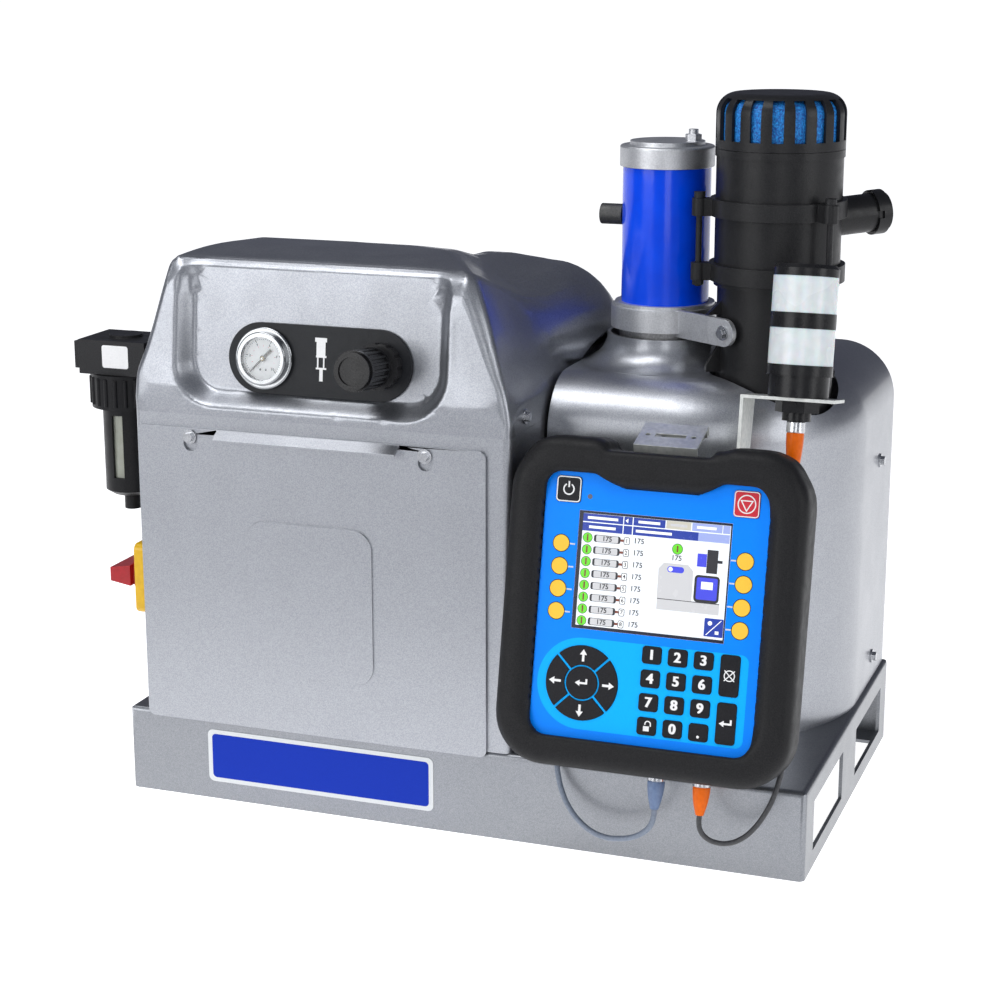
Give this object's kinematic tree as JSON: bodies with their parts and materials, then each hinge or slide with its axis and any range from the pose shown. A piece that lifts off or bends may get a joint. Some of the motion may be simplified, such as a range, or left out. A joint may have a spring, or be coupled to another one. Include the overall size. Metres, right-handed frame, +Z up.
{
  "type": "hot melt glue unit",
  "caption": "Hot melt glue unit with a steel base pan, moulded hood with air controls, blue pump motor, black feed funnel, stack light and tilted keypad display.",
  "frame": {"origin": "centre of the rectangle of floor bolt holes, on the floor plane", "axes": "+X to the right seen from the front, +Y from the front to the back, +Z up"},
  "size_m": [0.6511, 0.4037, 0.5843],
  "materials": {
    "silver_paint": "fine metallic powder coat",
    "hood_paint": "fine metallic powder coat, moulded edges",
    "zinc_bolts": "bright zinc",
    "control_plate": "satin",
    "gauge_chrome": "polished",
    "needle_black": "matte",
    "gauge_glass": "clear",
    "black_hardware": "satin black",
    "knob_black": "gloss",
    "switch_yellow": "gloss",
    "switch_red": "gloss",
    "filter_black": "satin",
    "sight_glass": "clear",
    "cast_melter": "cast",
    "polished_rod": "polished",
    "motor_silver": "satin",
    "motor_blue": "gloss",
    "muffler_bronze": "sintered",
    "funnel_black": "satin",
    "ring_black": "satin",
    "cage_black": "satin",
    "foam_blue": "open foam",
    "zinc_sheet": "bright zinc",
    "light_black": "satin",
    "light_lens": "frosted",
    "case_black": "matte",
    "boot_rubber": "matte",
    "face_blue": "satin film",
    "screen": "gloss",
    "cord_grey": "matte",
    "cord_black": "matte",
    "plug_orange": "satin",
    "gland_metal": "nickel",
    "key_black": "satin",
    "key_red": "satin"
  },
  "bodies": {
    "frame": {"base_pan": "silver_paint", "cabinet": "silver_paint", "hood": "hood_paint", "melter_shroud": "silver_paint", "fasteners": "zinc_bolts", "air_control_plate": "control_plate", "gauge_case": "gauge_chrome", "gauge_lens": "gauge_glass", "regulator_body": "black_hardware", "disconnect_plate": "switch_yellow", "filter_head": "black_hardware", "melter_block": "cast_melter", "motor_base": "motor_silver", "motor_cylinder": "motor_blue", "motor_cap": "motor_silver", "exhaust_muffler": "muffler_bronze", "feed_funnel": "funnel_black", "clamp_rings": "ring_black", "display_bracket": "zinc_sheet", "light_base": "light_black", "light_lenses": "light_lens", "display_case": "case_black", "display_boot": "boot_rubber", "display_overlay": "face_blue", "display_screen": "screen", "light_cord": "cord_black", "data_cord": "cord_grey", "cord_plugs": "plug_orange", "outlet_fittings": "gland_metal"},
    "panel": {"front_panel": "silver_paint"},
    "knob": {"regulator_knob": "knob_black"},
    "needle": {"gauge_needle": "needle_black"},
    "switch_handle": {"disconnect_handle": "switch_red"},
    "bowl": {"filter_bowl": "filter_black", "sight_glass": "sight_glass"},
    "cage": {"filter_cage": "cage_black", "filter_foam": "foam_blue"},
    "rod": {"drive_rod": "polished_rod"},
    "latch": {"display_latch": "zinc_sheet"},
    "btn_ok": {"key_ok": "key_black"},
    "btn_right": {"key_right": "key_black"},
    "btn_up": {"key_up": "key_black"},
    "btn_left": {"key_left": "key_black"},
    "btn_down": {"key_down": "key_black"},
    "btn_1": {"key_1": "key_black"},
    "btn_2": {"key_2": "key_black"},
    "btn_3": {"key_3": "key_black"},
    "btn_4": {"key_4": "key_black"},
    "btn_5": {"key_5": "key_black"},
    "btn_6": {"key_6": "key_black"},
    "btn_7": {"key_7": "key_black"},
    "btn_8": {"key_8": "key_black"},
    "btn_9": {"key_9": "key_black"},
    "btn_lock": {"key_lock": "key_black"},
    "btn_0": {"key_0": "key_black"},
    "btn_dot": {"key_dot": "key_black"},
    "btn_cancel": {"key_cancel": "key_black"},
    "btn_enter": {"key_enter": "key_black"},
    "btn_power": {"key_power": "key_black"},
    "btn_stop": {"key_stop": "key_red"}
  },
  "joints": [
    {"name": "panel_lift", "type": "slide", "parent": "frame", "child": "panel", "axis": [0, 0, 1], "range_m": [0, 0.005]},
    {"name": "regulator_turn", "type": "hinge", "parent": "frame", "child": "knob", "pos_m": [-0.063, -0.151, 0.3755], "axis": [0, 0.9945, -0.1045], "range_deg": [0, 900]},
    {"name": "gauge_swing", "type": "hinge", "parent": "frame", "child": "needle", "pos_m": [-0.163, -0.151, 0.3755], "axis": [0, 0.9945, -0.1045], "range_deg": [0, 270]},
    {"name": "disconnect_turn", "type": "hinge", "parent": "frame", "child": "switch_handle", "pos_m": [-0.29, -0.1315, 0.182], "axis": [-1, 0, 0], "range_deg": [0, 90]},
    {"name": "bowl_twist", "type": "hinge", "parent": "frame", "child": "bowl", "pos_m": [-0.314, -0.109, 0.3], "axis": [0, 0, 1], "range_deg": [0, 40]},
    {"name": "cage_lift", "type": "slide", "parent": "frame", "child": "cage", "axis": [0, 0, 1], "range_m": [0, 0.06]},
    {"name": "rod_stroke", "type": "slide", "parent": "frame", "child": "rod", "axis": [0, 0, 1], "range_m": [0, 0.06]},
    {"name": "latch_lift", "type": "hinge", "parent": "frame", "child": "latch", "pos_m": [0.168, -0.11915, 0.33432], "axis": [-1, 0, 0], "range_deg": [0, 25]},
    {"name": "key_ok_press", "type": "slide", "parent": "frame", "child": "btn_ok", "axis": [0, 0.9767, -0.2147], "range_m": [0, 0.0005], "stiffness_N_per_m": 300},
    {"name": "key_right_press", "type": "slide", "parent": "frame", "child": "btn_right", "axis": [0, 0.9767, -0.2147], "range_m": [0, 0.0005], "stiffness_N_per_m": 300},
    {"name": "key_up_press", "type": "slide", "parent": "frame", "child": "btn_up", "axis": [0, 0.9767, -0.2147], "range_m": [0, 0.0005], "stiffness_N_per_m": 300},
    {"name": "key_left_press", "type": "slide", "parent": "frame", "child": "btn_left", "axis": [0, 0.9767, -0.2147], "range_m": [0, 0.0005], "stiffness_N_per_m": 300},
    {"name": "key_down_press", "type": "slide", "parent": "frame", "child": "btn_down", "axis": [0, 0.9767, -0.2147], "range_m": [0, 0.0005], "stiffness_N_per_m": 300},
    {"name": "key_1_press", "type": "slide", "parent": "frame", "child": "btn_1", "axis": [0, 0.9767, -0.2147], "range_m": [0, 0.0005], "stiffness_N_per_m": 300},
    {"name": "key_2_press", "type": "slide", "parent": "frame", "child": "btn_2", "axis": [0, 0.9767, -0.2147], "range_m": [0, 0.0005], "stiffness_N_per_m": 300},
    {"name": "key_3_press", "type": "slide", "parent": "frame", "child": "btn_3", "axis": [0, 0.9767, -0.2147], "range_m": [0, 0.0005], "stiffness_N_per_m": 300},
    {"name": "key_4_press", "type": "slide", "parent": "frame", "child": "btn_4", "axis": [0, 0.9767, -0.2147], "range_m": [0, 0.0005], "stiffness_N_per_m": 300},
    {"name": "key_5_press", "type": "slide", "parent": "frame", "child": "btn_5", "axis": [0, 0.9767, -0.2147], "range_m": [0, 0.0005], "stiffness_N_per_m": 300},
    {"name": "key_6_press", "type": "slide", "parent": "frame", "child": "btn_6", "axis": [0, 0.9767, -0.2147], "range_m": [0, 0.0005], "stiffness_N_per_m": 300},
    {"name": "key_7_press", "type": "slide", "parent": "frame", "child": "btn_7", "axis": [0, 0.9767, -0.2147], "range_m": [0, 0.0005], "stiffness_N_per_m": 300},
    {"name": "key_8_press", "type": "slide", "parent": "frame", "child": "btn_8", "axis": [0, 0.9767, -0.2147], "range_m": [0, 0.0005], "stiffness_N_per_m": 300},
    {"name": "key_9_press", "type": "slide", "parent": "frame", "child": "btn_9", "axis": [0, 0.9767, -0.2147], "range_m": [0, 0.0005], "stiffness_N_per_m": 300},
    {"name": "key_lock_press", "type": "slide", "parent": "frame", "child": "btn_lock", "axis": [0, 0.9767, -0.2147], "range_m": [0, 0.0005], "stiffness_N_per_m": 300},
    {"name": "key_0_press", "type": "slide", "parent": "frame", "child": "btn_0", "axis": [0, 0.9767, -0.2147], "range_m": [0, 0.0005], "stiffness_N_per_m": 300},
    {"name": "key_dot_press", "type": "slide", "parent": "frame", "child": "btn_dot", "axis": [0, 0.9767, -0.2147], "range_m": [0, 0.0005], "stiffness_N_per_m": 300},
    {"name": "key_cancel_press", "type": "slide", "parent": "frame", "child": "btn_cancel", "axis": [0, 0.9767, -0.2147], "range_m": [0, 0.0005], "stiffness_N_per_m": 300},
    {"name": "key_enter_press", "type": "slide", "parent": "frame", "child": "btn_enter", "axis": [0, 0.9767, -0.2147], "range_m": [0, 0.0005], "stiffness_N_per_m": 300},
    {"name": "key_power_press", "type": "slide", "parent": "frame", "child": "btn_power", "axis": [0, 0.9767, -0.2147], "range_m": [0, 0.0005], "stiffness_N_per_m": 300},
    {"name": "key_stop_press", "type": "slide", "parent": "frame", "child": "btn_stop", "axis": [0, 0.9767, -0.2147], "range_m": [0, 0.0005], "stiffness_N_per_m": 300}
  ],
  "couplings": [
    {"joint": "gauge_swing", "follows": "regulator_turn", "ratio": 0.3}
  ]
}
